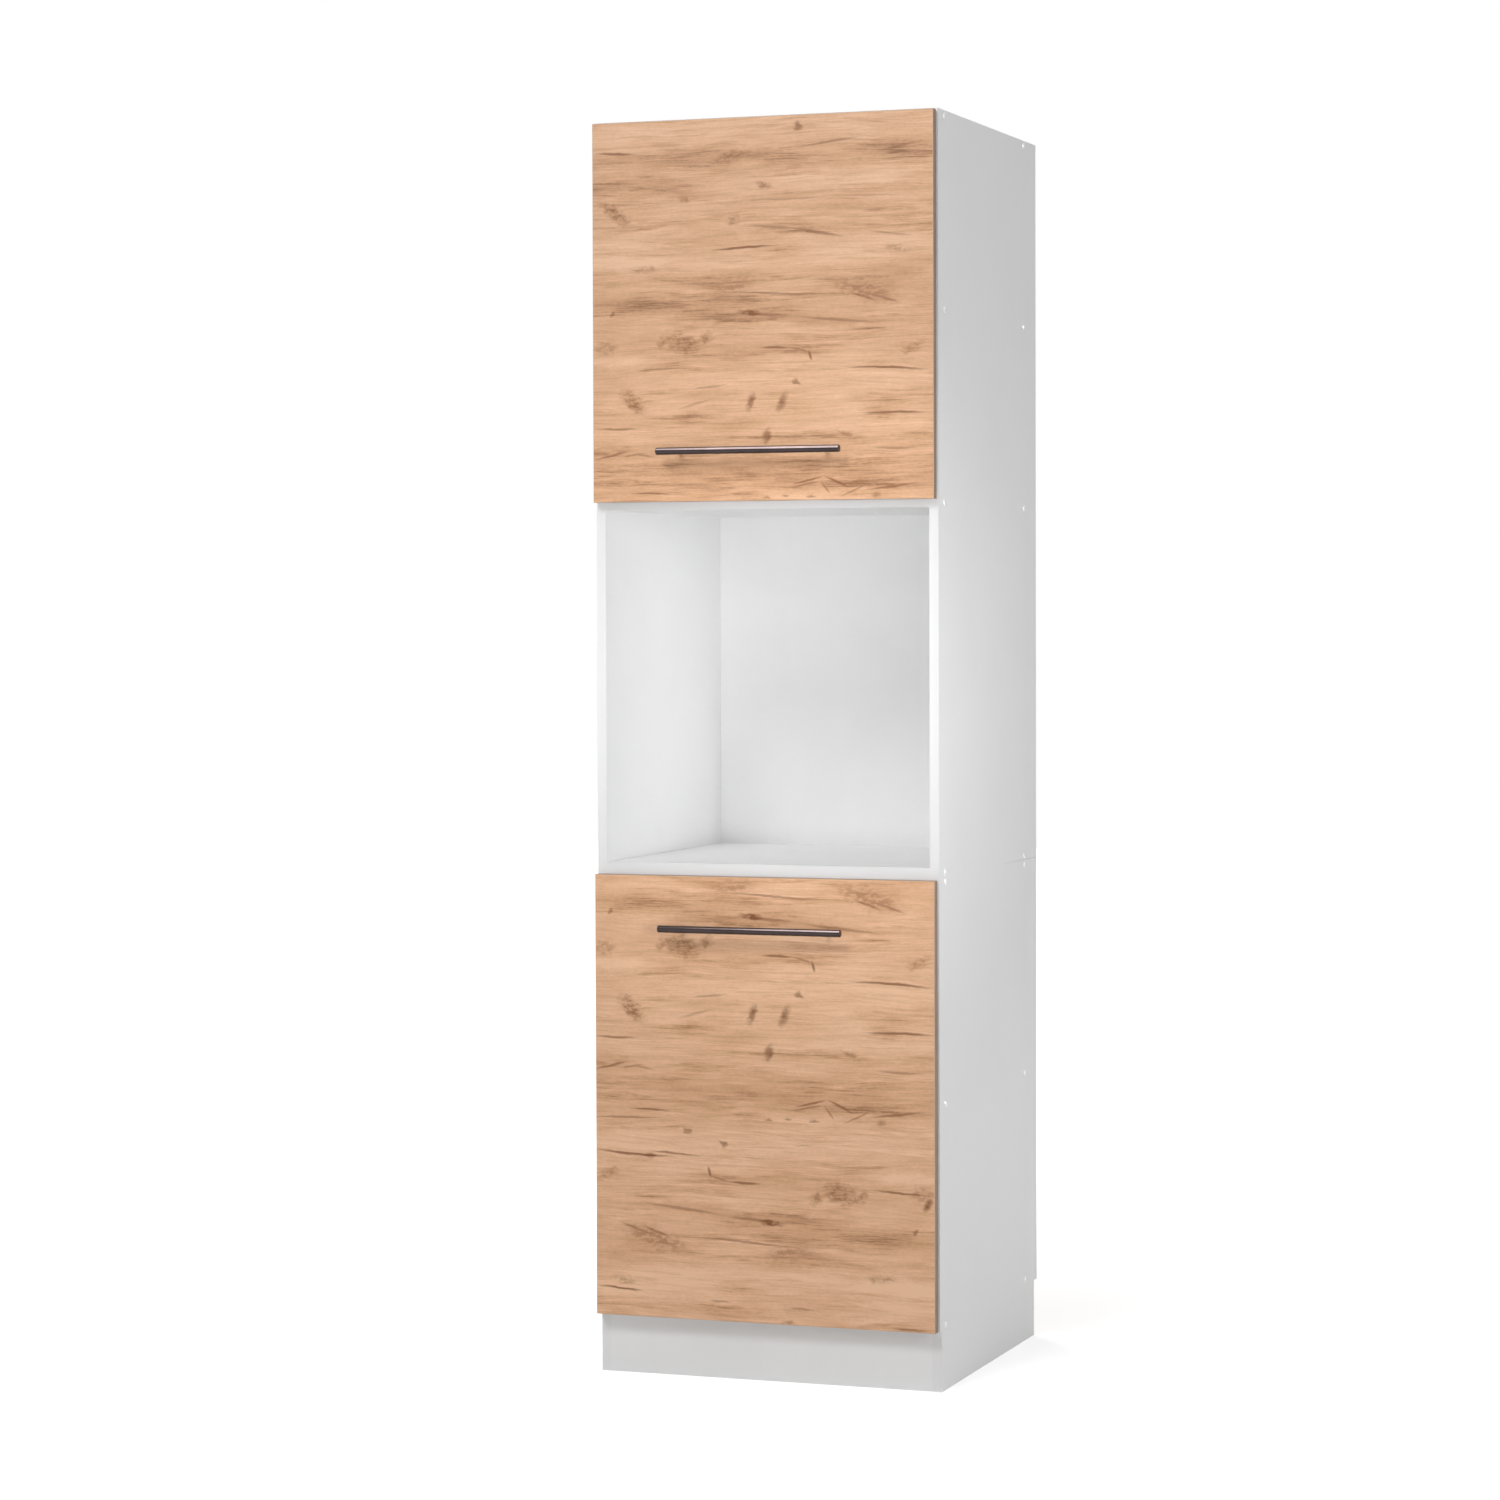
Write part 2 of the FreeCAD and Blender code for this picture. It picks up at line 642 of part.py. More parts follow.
def hinge_plate():
    # Flat plate on the side's inner face with a raised pedestal for the arm
    face = "(board - door_reveal - pivot_inset)"
    front_edge = "(pivot_depth + door_gap)"
    base = block("plate_base", face, f"{front_edge} + plate_front", "-plate_height / 2", "plate_thickness",
                 "plate_depth", "plate_height")
    pedestal = block("plate_pedestal", face, f"{front_edge} + plate_front", "-pedestal_width / 2",
                     "pedestal_height", "arm_reach - plate_front", "pedestal_width")
    screw_holes = [
        rod("plate_screw_hole", "wood_screw + 2 * drill_play", "plate_thickness", face,
            f"{front_edge} + plate_screw_inset", f"{side} plate_screw_pitch / 2", head_right)
        for side in ("-", "")
    ]
    arm_hole = rod("plate_arm_hole", "machine_screw + 2 * drill_play", "pedestal_height", face,
                   f"{front_edge} + arm_screw_inset", "0", head_right)
    return cut("plate_pattern", join("plate_blank", [base, pedestal]), screw_holes + [arm_hole])


hinge_patterns = {"cup": hinge_cup(), "pin": hinge_pin(), "arm": hinge_arm(), "plate": hinge_plate()}
hinge_rows = [("upper", upper_hinge_levels), ("lower", lower_hinge_levels)]
plate_screw_copies = []
arm_screw_copies = []
for module, hinge_levels in hinge_rows:
    cup_screw_copies = []
    for spot, level in zip(("bottom", "top"), hinge_levels):
        for piece, pattern in hinge_patterns.items():
            group(f"{module}_{spot}_hinge_{piece}", [(pattern, pivot_x, pivot_y, level, upright)])
        for shift in plate_screw_shifts:
            plate_screw_copies.append((wood_screw, f"{inner_left} + plate_thickness",
                                       f"{front} + plate_screw_inset", f"{level} {shift}", head_right))
        arm_screw_copies.append((arm_screw, f"{inner_left} + pedestal_height + arm_thickness",
                                 f"{front} + arm_screw_inset", level, head_right))
        for side in ("- cup_screw_pitch / 2", "+ cup_screw_pitch / 2"):
            cup_screw_copies.append((wood_screw, f"{door_left} + {cup_reach} + cup_screw_reach",
                                     f"{door_back} + flange", f"{level} {side}", head_back))
    group(f"{module}_cup_screws", cup_screw_copies)
group("hinge_plate_screws", plate_screw_copies)
group("hinge_arm_screws", arm_screw_copies)


# Doors, edging and handles

def edging_strip(name, length):
    # Upright strip with its rounded outer side on the left
    body = doc.addObject("PartDesign::Body", name)
    sketch = sketch_on(body, "XY_Plane")
    draw_rectangle(sketch, "edging", "door_thickness")
    strip = pad(body, sketch, length)
    doc.recompute()
    outer_edges = edges_where(strip.Shape, lambda point: abs(point.x) < same_plane)
    upright_edges = [edge for edge in outer_edges if is_upright(strip.Shape, edge)]
    rounding = body.newObject("PartDesign::Fillet", f"{name}_rounding")
    rounding.Base = (strip, upright_edges)
    bind(rounding, {"Radius": "edging_round_share * edging"})
    return body


def is_upright(shape, edge_name):
    ends = [vertex.Point for vertex in shape.getElement(edge_name).Vertexes]
    return abs(ends[0].z - ends[1].z) > same_plane


def door_board(label, bottom, top, hinge_levels, handle_level):
    # Decor board inside its edging, local origin at its front left lower corner
    body = doc.addObject("PartDesign::Body", label)
    board_bottom = f"({bottom} + edging)"
    sketch = sketch_on(body, "XZ_Plane")
    draw_rectangle(sketch, f"({door_width} - 2 * edging)", f"({top} - {bottom} - 2 * edging)")
    pad(body, sketch, "door_thickness", reverse=True)
    back_face = {"offset": "-door_thickness", "reverse": True}
    cup_x = f"({cup_reach} - edging)"
    cup_spots = [(cup_x, f"{level} - {board_bottom}") for level in hinge_levels]
    cup_hole = "cup_diameter + 2 * drill_play"
    drill(body, "XZ_Plane", cup_spots, cup_hole, "cup_depth + drill_spare", **back_face)
    screw_spots = [
        (f"{cup_x} + cup_screw_reach", f"{level} {side} cup_screw_pitch / 2 - {board_bottom}")
        for level in hinge_levels
        for side in ("-", "+")
    ]
    screw_depth = f"{cup_screw_bite} + drill_spare"
    drill(body, "XZ_Plane", screw_spots, "wood_screw + 2 * drill_play", screw_depth, **back_face)
    board_left = f"({door_left} + edging)"
    handle_spots = [
        (f"{handle_middle} {side} handle_pitch / 2 - {board_left}", f"{handle_level} - {board_bottom}")
        for side in ("-", "+")
    ]
    handle_hole = "machine_screw + 2 * clearance_hole_play"
    drill(body, "XZ_Plane", handle_spots, handle_hole, "door_thickness", **back_face)
    return keep(place(body, board_left, door_front, board_bottom), label)


def handle_bar(label, level):
    # Round bar with chamfered ends and two blind holes for the posts, local origin at its left end
    body = doc.addObject("PartDesign::Body", label)
    sketch = sketch_on(body, "YZ_Plane")
    draw_circles(sketch, [("0", "0")], "handle_diameter")
    bar = pad(body, sketch, "handle_length")
    doc.recompute()
    ends = edges_where(bar.Shape, lambda point: abs(point.x) < same_plane)
    ends += edges_where(bar.Shape, lambda point: abs(point.x - value("handle_length")) < same_plane)
    chamfer = body.newObject("PartDesign::Chamfer", f"{label}_chamfer")
    chamfer.Base = (bar, ends)
    bind(chamfer, {"Size": "handle_chamfer"})
    posts = [(f"(handle_length {side} handle_pitch) / 2", "0") for side in ("-", "+")]
    drill(body, "XZ_Plane", posts, "post_diameter + 2 * drill_play", "handle_diameter",
          offset="post_entry - handle_diameter / 2")
    return keep(place(body, f"{handle_middle} - handle_length / 2", handle_axis, level), label)


post_blank = rod("post_blank", "post_diameter", post_length)
post_thread = rod("post_thread", "machine_screw + 2 * drill_play", "handle_screw_bite + drill_spare")
post = cut("post_pattern", post_blank, [post_thread])
bumper = taper("bumper_pattern", "bumper_diameter", "bumper_top", "door_gap - bumper_play", "0")
flat_strip = edging_strip("flat_strip", f"({door_width} - 2 * edging)")
strip_bottom = Rotation(Vector(1, 0, 1), 180)
strip_top = Rotation(Vector(0, 1, 0), 90)
strip_right = Rotation(Vector(0, 0, 1), 180)

door_specs = [
    ("upper", upper_door_bottom, upper_door_top, upper_hinge_levels, upper_handle_level),
    ("lower", lower_door_bottom, lower_door_top, lower_hinge_levels, lower_handle_level),
]
for module, bottom, top, hinge_levels, handle_level in door_specs:
    door_board(f"{module}_door", bottom, top, hinge_levels, handle_level)
    upright_strip = edging_strip(f"{module}_upright_strip", f"({top} - {bottom})")
    strips = [
        (upright_strip, door_left, door_front, bottom, upright),
        (upright_strip, door_right, door_back, bottom, strip_right),
        (flat_strip, f"{door_left} + edging", door_back, bottom, strip_bottom),
        (flat_strip, f"{door_left} + edging", door_front, top, strip_top),
    ]
    group(f"{module}_door_edging", strips)
    handle_bar(f"{module}_handle_bar", handle_level)
    post_places = [f"{handle_middle} {side} handle_pitch / 2" for side in ("-", "+")]
    group(f"{module}_handle_posts", [(post, x, door_front, handle_level, head_front) for x in post_places])
    screws = [(handle_screw, x, door_back, handle_level, head_back) for x in post_places]
    group(f"{module}_handle_screws", screws)
    bumper_x = f"{right_face} - board / 2"
    bumper_levels = (f"{bottom} + bumper_inset", f"{top} - bumper_inset")
    bumpers = [(bumper, bumper_x, door_back, level, head_back) for level in bumper_levels]
    group(f"{module}_door_bumpers", bumpers)

# Checks, then one file for each piece
doc.recompute()
for item in doc.Objects:
    if "Invalid" in item.State or "Error" in item.State:
        raise RuntimeError(f"{item.Label} failed: {item.State}")
    if item.TypeId in ("PartDesign::Pocket", "PartDesign::Hole"):
        if item.Shape.Volume >= item.BaseFeature.Shape.Volume:
            raise RuntimeError(f"{item.Label} cuts nothing")
for item in nodes:
    if item.Shape.isNull() or not item.Shape.isValid():
        raise RuntimeError(f"{item.Label} has no valid shape")
os.makedirs("parts", exist_ok=True)
for item in nodes:
    item.Shape.exportStep(os.path.join("parts", f"{item.Label}.step"))
print(f"{len(nodes)} pieces written")
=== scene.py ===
import math
import bpy
from mathutils import Matrix, Vector

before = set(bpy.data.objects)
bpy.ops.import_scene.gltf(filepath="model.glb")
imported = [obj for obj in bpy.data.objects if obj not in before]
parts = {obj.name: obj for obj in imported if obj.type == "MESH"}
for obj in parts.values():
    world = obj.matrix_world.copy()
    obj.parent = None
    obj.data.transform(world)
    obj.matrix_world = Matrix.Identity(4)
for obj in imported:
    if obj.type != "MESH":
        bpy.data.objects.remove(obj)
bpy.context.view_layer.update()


class Wire:
    # a socket that can stand in plain sums
    def __init__(self, finish, socket):
        self.finish = finish
        self.socket = socket

    def maths(self, operation, *terms):
        return self.finish.node("ShaderNodeMath", {"operation": operation}, dict(enumerate(terms)))

    def __add__(self, other):
        return self.maths("ADD", self, other)

    def __radd__(self, other):
        return self.maths("ADD", other, self)

    def __sub__(self, other):
        return self.maths("SUBTRACT", self, other)

    def __rsub__(self, other):
        return self.maths("SUBTRACT", other, self)

    def __mul__(self, other):
        return self.maths("MULTIPLY", self, other)

    def __rmul__(self, other):
        return self.maths("MULTIPLY", other, self)

    def __truediv__(self, other):
        return self.maths("DIVIDE", self, other)

    def __rtruediv__(self, other):
        return self.maths("DIVIDE", other, self)

    def __abs__(self):
        return self.maths("ABSOLUTE", self)

    def sine(self):
        return self.maths("SINE", self)

    def atLeast(self, other):
        return self.maths("MAXIMUM", self, other)

    def atMost(self, other):
        return self.maths("MINIMUM", self, other)

    def above(self, other):
        return self.maths("GREATER_THAN", self, other)


class Finish:
    # one material, or the world, and the nodes in it
    def __init__(self, name, world=None):
        self.data = world or bpy.data.materials.new(name)
        self.data.use_nodes = True
        self.tree = self.data.node_tree
        self.tree.nodes.clear()

    def node(self, kind, settings=None, sockets=None, out=0):
        made = self.tree.nodes.new(kind)
        for name, value in (settings or {}).items():
            if name == "stops":
                while len(made.color_ramp.elements) < len(value):
                    made.color_ramp.elements.new(1.0)
                for element, (place, colour) in zip(made.color_ramp.elements, value):
                    element.position = place
                    element.color = (*colour, 1.0)
            else:
                setattr(made, name, value)
        for name, value in (sockets or {}).items():
            socket = made.inputs[name]
            if isinstance(value, Wire):
                self.tree.links.new(value.socket, socket)
            elif socket.type == "RGBA" and len(value) == 3:
                socket.default_value = (*value, 1.0)
            else:
                socket.default_value = value
        return Wire(self, made.outputs[out]) if len(made.outputs) else None

    def place(self):
        # object coordinates in millimetres, the same as the CAD frame at rest
        point = self.node("ShaderNodeTexCoord", out="Object")
        return [axis * 1000.0 for axis in self.split(point)]

    def facing(self):
        # where the surface looks, along x, y and z
        return self.split(self.node("ShaderNodeTexCoord", out="Normal"))

    def split(self, vector):
        first = self.node("ShaderNodeSeparateXYZ", None, {0: vector})
        outs = first.socket.node.outputs
        return [Wire(self, outs[axis]) for axis in range(3)]

    def join(self, first, second, third=0.0):
        return self.node("ShaderNodeCombineXYZ", None, {0: first, 1: second, 2: third})

    def noise(self, vector, detail, rough, flat):
        settings = {"noise_dimensions": "2D" if flat else "3D"}
        sockets = {"Vector": vector, "Scale": 1.0, "Detail": detail, "Roughness": rough}
        return self.node("ShaderNodeTexNoise", settings, sockets)

    def lumps(self, axes, grain):
        # noise by its lumps' length in mm along each axis, then its detail and roughness
        *lengths, detail, rough = grain
        point = self.join(*[axis / length for axis, length in zip(axes, lengths)])
        return self.noise(point, detail, rough, len(lengths) == 2)

    def fade(self, value, start, end):
        # 0 at start, 1 at end, smooth between
        sockets = {"Value": value, "From Min": start, "From Max": end, "To Min": 0.0, "To Max": 1.0}
        return self.node("ShaderNodeMapRange", {"interpolation_type": "SMOOTHSTEP"}, sockets)

    def blend(self, first, second, factor):
        return self.node("ShaderNodeMix", {"data_type": "RGBA"}, {0: factor, 6: first, 7: second}, 2)

    def tint(self, value, stops):
        return self.node("ShaderNodeValToRGB", {"stops": stops}, {"Fac": value})

    def bump(self, height, depth, strength=1.0):
        sockets = {"Height": height, "Distance": depth, "Strength": strength}
        return self.node("ShaderNodeBump", None, sockets)

    def coat(self, **sockets):
        named = {name.replace("_", " "): value for name, value in sockets.items()}
        shader = self.node("ShaderNodeBsdfPrincipled", None, named)
        self.node("ShaderNodeOutputMaterial", None, {"Surface": shader})
        return self


def dress(finish, *names):
    for name in names:
        for slot in parts[name].material_slots:
            slot.material = finish.data


def both(*names):
    return ["%s_%s" % (module, name) for module in ("upper", "lower") for name in names]


# camera, solved from the edges of the doors and the right side
view = {
    "place": (2.24642, -6.57294, 1.29332),
    "right": (0.940782, 0.338998, -0.003051),
    "up": (-0.006122, 0.025985, 0.999644),
    "ahead": (-0.338957, 0.940428, -0.026522),
    "focal": 4043.654,     # pixels of the photo
    "middleRow": 712.0,    # row of the optical axis
    "frame": 1500.0,
    "sensor": 36.0,
    "reach": 60.0,         # m, how far it sees
}


def setCamera(look):
    lens = bpy.data.cameras.new("camera")
    lens.sensor_fit = "HORIZONTAL"
    lens.sensor_width = look["sensor"]
    lens.lens = look["focal"] / look["frame"] * look["sensor"]
    lens.shift_y = (look["middleRow"] - look["frame"] / 2) / look["frame"]
    lens.clip_end = look["reach"]
    camera = bpy.data.objects.new("camera", lens)
    bpy.context.scene.collection.objects.link(camera)
    back = -Vector(look["ahead"])
    turn = Matrix((look["right"], look["up"], back)).transposed()
    camera.matrix_world = Matrix.Translation(look["place"]) @ turn.to_4x4()
    bpy.context.scene.camera = camera


setCamera(view)
print("camera set")

# soft light all round, as strong as ambient says
skyLook = {"ambient": 0.23, "colour": (1.0, 1.0, 1.0)}

# lamps in metres, watts and degrees: a high key in front, a wide fill from the right and a wide lamp
# behind on the left, two that only show in gloss, the strip for the handles and the glint for the
# caps, and two narrow beams into the niche
lampLook = {
    "key": {"place": (-0.65, -4.3, 4.55), "aim": (0.0, -0.28, 1.2), "size": (1.3, 1.3), "power": 96.0},
    "fill": {"place": (3.5, -3.0, 1.5), "aim": (0.0, -0.1, 1.1), "size": (2.0, 2.0), "power": 54.0},
    "rear": {"place": (-2.8, 3.4, 4.2), "aim": (0.0, 0.1, 1.1), "size": (2.4, 2.4), "power": 110.0},
    "strip": {"place": (-0.96, -1.57, 3.95), "aim": (-0.96, -1.031, 3.108), "size": (0.60, 3.5),
              "power": 96.0, "glossOnly": True},
    "glint": {"place": (4.3, 1.0, 1.2), "aim": (0.3, 0.0, 1.2), "size": (1.0, 2.6),
              "power": 110.0, "glossOnly": True},
    "beam": {"place": (1.05, -4.05, 0.98), "aim": (0.02, -0.26, 1.25), "size": (0.8, 0.8),
             "power": 296.0, "cone": 11.0, "soft": 0.8},
    "sideBeam": {"place": (3.2, -3.25, 1.06), "aim": (-0.284, 0.02, 1.13), "size": (0.8, 0.8),
                 "power": 385.0, "cone": 9.5, "soft": 0.8},
}


def addLamp(name, look):
    beam = "cone" in look
    lamp = bpy.data.lights.new(name, "SPOT" if beam else "AREA")
    lamp.energy = look["power"]
    if beam:
        lamp.spot_size = math.radians(look["cone"])
        lamp.spot_blend = look["soft"]
        lamp.shadow_soft_size = look["size"][0] / 2.0
    else:
        lamp.shape = "RECTANGLE"
        lamp.size, lamp.size_y = look["size"]
    thing = bpy.data.objects.new(name, lamp)
    thing.visible_diffuse = not look.get("glossOnly", False)
    bpy.context.scene.collection.objects.link(thing)
    aim = Vector(look["aim"]) - Vector(look["place"])
    thing.location = look["place"]
    thing.rotation_euler = aim.to_track_quat("-Z", "Y").to_euler()


def seenRays(finish):
    # 1 where the camera, gloss or clear rubber looks, 0 for the light itself
    rays = finish.node("ShaderNodeLightPath").socket.node.outputs
    names = ("Is Camera Ray", "Is Glossy Ray", "Is Transmission Ray")
    seen = [Wire(finish, rays[name]) for name in names]
    return (seen[0] + seen[1] + seen[2]).atMost(1.0)


def setWorld(look):
    world = bpy.data.worlds.new("studio")
    bpy.context.scene.world = world
    finish = Finish("studio", world)
    strength = look["ambient"] + (1.0 - look["ambient"]) * seenRays(finish)
    sky = finish.node("ShaderNodeBackground", None, {"Color": look["colour"], "Strength": strength})
    finish.node("ShaderNodeOutputWorld", None, {"Surface": sky})


# pale floor that glows white away from the cabinet, in metres
floorLook = {
    "half": 14.0,
    "paint": (0.88, 0.88, 0.88),
    "glowNear": 0.54,
    "glowFar": 1.0,
    "near": 0.5,
    "far": 2.6,
}


def addFloor(look):
    finish = Finish("pale_floor")
    matt = finish.node("ShaderNodeBsdfDiffuse", None, {"Color": look["paint"]})
    spot = finish.node("ShaderNodeTexCoord", out="Object")
    away = finish.node("ShaderNodeVectorMath", {"operation": "LENGTH"}, {0: spot}, "Value")
    rise = (look["glowFar"] - look["glowNear"]) * finish.fade(away, look["near"], look["far"])
    strength = seenRays(finish) * (look["glowNear"] + rise)
    glow = finish.node("ShaderNodeEmission", None, {"Strength": strength})
    paint = finish.node("ShaderNodeAddShader", None, {0: matt, 1: glow})
    finish.node("ShaderNodeOutputMaterial", None, {"Surface": paint})
    half = look["half"]
    sheet = bpy.data.meshes.new("floor")
    corners = [(-half, -half, 0), (half, -half, 0), (half, half, 0), (-half, half, 0)]
    sheet.from_pydata(corners, [], [(0, 1, 2, 3)])
    sheet.materials.append(finish.data)
    floor = bpy.data.objects.new("floor", sheet)
    bpy.context.scene.collection.objects.link(floor)


setWorld(skyLook)
for lampName, lampValues in lampLook.items():
    addLamp(lampName, lampValues)
addFloor(floorLook)
bpy.context.scene.view_settings.view_transform = "Standard"
print("light and floor set")

# In the looks below, a noise is given by its lumps' length in mm along each axis, then its detail and
# roughness. A range is where a fade starts and ends. Depths of bumps are in metres.

# white melamine board, with raw chipboard where the rear edges have no strip
boardLook = {
    "white": (0.936, 0.936, 0.937),
    "shade": (0.920, 0.920, 0.921),
    "cloud": (160.0, 160.0, 160.0, 3.0, 0.5),    # faint tone changes
    "cloudRange": (0.32, 0.62),
    "pearl": (0.9, 0.9, 0.9, 1.0, 0.5),          # pressed grain
    "pearlDepth": 0.00003,
    "rough": 0.44,
    "roughSwing": 0.10,
    "strip": (0.84, 0.84, 0.845),                # edge strips at the front, greyed as painted shade
    "stripRange": (-0.4, -0.8),                  # how far a face turns to the front
    "joint": (0.55, 0.55, 0.56),                 # painted shade in the crease where the two modules meet
    "jointHeight": 846.0,                        # mm
    "jointRange": (1.3, 0.3),                    # mm off that height
    "jointDepth": (60.0, 250.0),                 # mm, the painted shade gets stronger towards the rear
    "jointShare": 0.5,
    "rearFacing": 0.7,
    "rawBehind": 285.0,                          # mm, rear edges beyond this are raw
    "rawRough": 0.35,
    "chip": (2.4, 2.4, 7.0),                     # mm
    "chips": [(0.0, (0.23, 0.13, 0.065)), (0.35, (0.42, 0.27, 0.15)), (0.7, (0.58, 0.41, 0.25)),
              (1.0, (0.70, 0.54, 0.36))],
}
# plinth and rear rail: the same white board, greyer all over as painted shade
shadedFaceLook = {**boardLook, "white": (0.88, 0.88, 0.881), "shade": (0.865, 0.865, 0.866)}


def boardFinish(name, look, edged):
    finish = Finish(name)
    x, y, z = finish.place()
    cloud = finish.lumps((x, y, z), look["cloud"])
    paint = finish.blend(look["shade"], look["white"], finish.fade(cloud, *look["cloudRange"]))
    pearl = finish.lumps((x, y, z), look["pearl"])
    rough = look["rough"] + look["roughSwing"] * (pearl - 0.5)
    if edged:
        rearward = finish.facing()[1]
        # faces turned to the front take the strip colour, greyed as painted shade
        paint = finish.blend(paint, look["strip"], finish.fade(rearward, *look["stripRange"]))
        # painted shade along the crease between the two modules
        creaseShade = finish.fade(abs(z - look["jointHeight"]), *look["jointRange"])
        creaseShade = creaseShade * finish.fade(y, *look["jointDepth"])
        paint = finish.blend(paint, look["joint"], creaseShade * look["jointShare"])
        raw = rearward.above(look["rearFacing"]) * y.above(look["rawBehind"])
        across = finish.join(*[axis / chip for axis, chip in zip((x, y, z), look["chip"])])
        sockets = {"Vector": across, "Scale": 1.0}
        flakes = finish.node("ShaderNodeTexVoronoi", {"feature": "F1"}, sockets, "Color")
        chips = finish.tint(finish.split(flakes)[0], look["chips"])
        paint = finish.blend(paint, chips, raw)
        rough = rough + raw * look["rawRough"]
    normal = finish.bump(pearl, look["pearlDepth"])
    return finish.coat(Base_Color=paint, Roughness=rough, Normal=normal)


boards = both("left_side", "right_side", "shelf")
boards += ["lower_floor", "lower_top_panel", "niche_floor", "niche_ceiling", "top_panel"]
dress(boardFinish("white_melamine", boardLook, True), *boards)
dress(boardFinish("white_face_shaded", shadedFaceLook, False), "rear_rail", "plinth")
print("boards done")

# hardboard back: white lacquer inside, a little greyer than the boards, partly its own tone and partly
# painted shade of the niche; bare brown fibre behind
backLook = {
    "white": (0.908, 0.907, 0.907),
    "shade": (0.891, 0.890, 0.890),
    "cloud": (140.0, 140.0, 3.0, 0.5),
    "cloudRange": (0.32, 0.62),
    "fibres": [(0.25, (0.20, 0.115, 0.062)), (0.5, (0.31, 0.19, 0.108)), (0.75, (0.41, 0.27, 0.165))],
    "felt": (3.5, 3.5, 5.0, 0.68),
    "feltRise": 0.6,
    "rearFacing": 0.7,
    "mesh": 2.2,           # mm, pitch of the screen print on the rear
    "meshDepth": 0.00025,
    "meshStrength": 0.6,
    "rough": 0.46,
    "bareRough": 0.36,
}


def backFinish(look):
    finish = Finish("backboard")
    x, y, z = finish.place()
    bare = finish.facing()[1].above(look["rearFacing"])
    cloud = finish.lumps((x, z), look["cloud"])
    lacquer = finish.blend(look["shade"], look["white"], finish.fade(cloud, *look["cloudRange"]))
    felt = finish.lumps((x, z), look["felt"])
    paint = finish.blend(lacquer, finish.tint(felt, look["fibres"]), bare)
    pitch = math.pi / look["mesh"]
    screen = (x * pitch).sine() * (z * pitch).sine()
    height = bare * (screen + look["feltRise"] * felt)
    normal = finish.bump(height, look["meshDepth"], look["meshStrength"])
    rough = look["rough"] + look["bareRough"] * bare
    return finish.coat(Base_Color=paint, Roughness=rough, Normal=normal)


dress(backFinish(backLook), *both("back_panel"))
print("back panels done")
